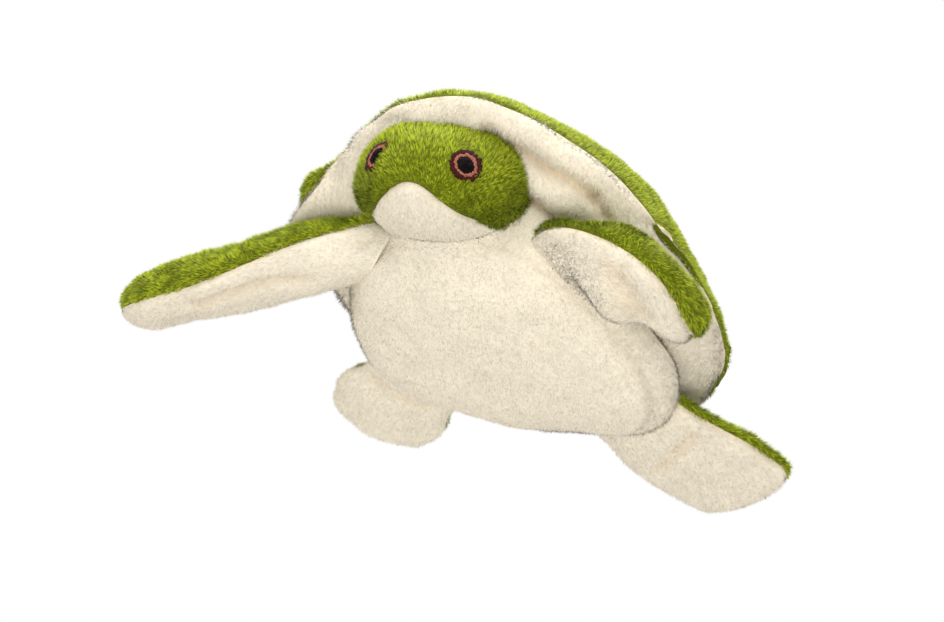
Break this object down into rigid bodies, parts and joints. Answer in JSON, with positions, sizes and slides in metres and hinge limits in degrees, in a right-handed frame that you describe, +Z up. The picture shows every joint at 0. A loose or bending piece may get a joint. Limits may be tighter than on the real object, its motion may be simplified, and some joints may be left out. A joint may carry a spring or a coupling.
{
  "type": "plush turtle",
  "caption": "Stuffed plush turtle with a domed green shell, cream belly, embroidered eyes, and a head and flippers that bend at their sewn roots.",
  "frame": {"origin": "middle of the flat of the belly, where the turtle lies on a surface", "axes": "-Y towards the head, +X towards the turtle's own left, +Z up out of the shell"},
  "size_m": [0.2638, 0.2015, 0.095],
  "materials": {
    "green_plush": "short cut pile plush, olive lime green",
    "cream_plush": "short cut pile plush, warm off-white",
    "polyester_stuffing": "loose white fibre fill",
    "black_thread": "satin stitch embroidery",
    "salmon_thread": "satin stitch embroidery",
    "maroon_thread": "satin stitch embroidery"
  },
  "bodies": {
    "torso": {"carapace_cover": "green_plush", "carapace_underside": "cream_plush", "body_side_panel": "cream_plush", "belly_panel": "cream_plush", "body_stuffing": "polyester_stuffing"},
    "head": {"head_cap": "green_plush", "head_muzzle": "cream_plush", "head_stuffing": "polyester_stuffing", "left_eye_pupil": "black_thread", "left_eye_iris": "salmon_thread", "left_eye_ring": "maroon_thread", "right_eye_pupil": "black_thread", "right_eye_iris": "salmon_thread", "right_eye_ring": "maroon_thread"},
    "front_right_flipper": {"front_right_flipper_top": "green_plush", "front_right_flipper_underside": "cream_plush", "front_right_flipper_stuffing": "polyester_stuffing"},
    "front_left_flipper": {"front_left_flipper_top": "green_plush", "front_left_flipper_underside": "cream_plush", "front_left_flipper_stuffing": "polyester_stuffing"},
    "rear_right_flipper": {"rear_right_flipper_top": "green_plush", "rear_right_flipper_underside": "cream_plush", "rear_right_flipper_stuffing": "polyester_stuffing"},
    "rear_left_flipper": {"rear_left_flipper_top": "green_plush", "rear_left_flipper_underside": "cream_plush", "rear_left_flipper_stuffing": "polyester_stuffing"}
  },
  "joints": [
    {"name": "head_nod", "type": "hinge", "parent": "torso", "child": "head", "pos_m": [-0.0045, -0.068, 0.039], "axis": [0.9945, 0.1045, 0], "range_deg": [-10, 10], "stiffness_Nm_per_rad": 0.15},
    {"name": "front_right_flipper_flap", "type": "hinge", "parent": "torso", "child": "front_right_flipper", "pos_m": [-0.04688, -0.04153, 0.02315], "axis": [-0.5682, 0.8024, -0.1824], "range_deg": [-25, 12], "stiffness_Nm_per_rad": 0.08},
    {"name": "front_left_flipper_flap", "type": "hinge", "parent": "torso", "child": "front_left_flipper", "pos_m": [0.04758, -0.04062, 0.02292], "axis": [0.5555, 0.8124, -0.1773], "range_deg": [-12, 25], "stiffness_Nm_per_rad": 0.08},
    {"name": "rear_right_flipper_flap", "type": "hinge", "parent": "torso", "child": "rear_right_flipper", "pos_m": [-0.05187, 0.0385, 0.01774], "axis": [0.7037, 0.7105, -0.0003], "range_deg": [-14, 12], "stiffness_Nm_per_rad": 0.06},
    {"name": "rear_left_flipper_flap", "type": "hinge", "parent": "torso", "child": "rear_left_flipper", "pos_m": [0.0449, 0.04634, 0.01774], "axis": [-0.8254, 0.5645, -0.0001], "range_deg": [-12, 14], "stiffness_Nm_per_rad": 0.06}
  ]
}
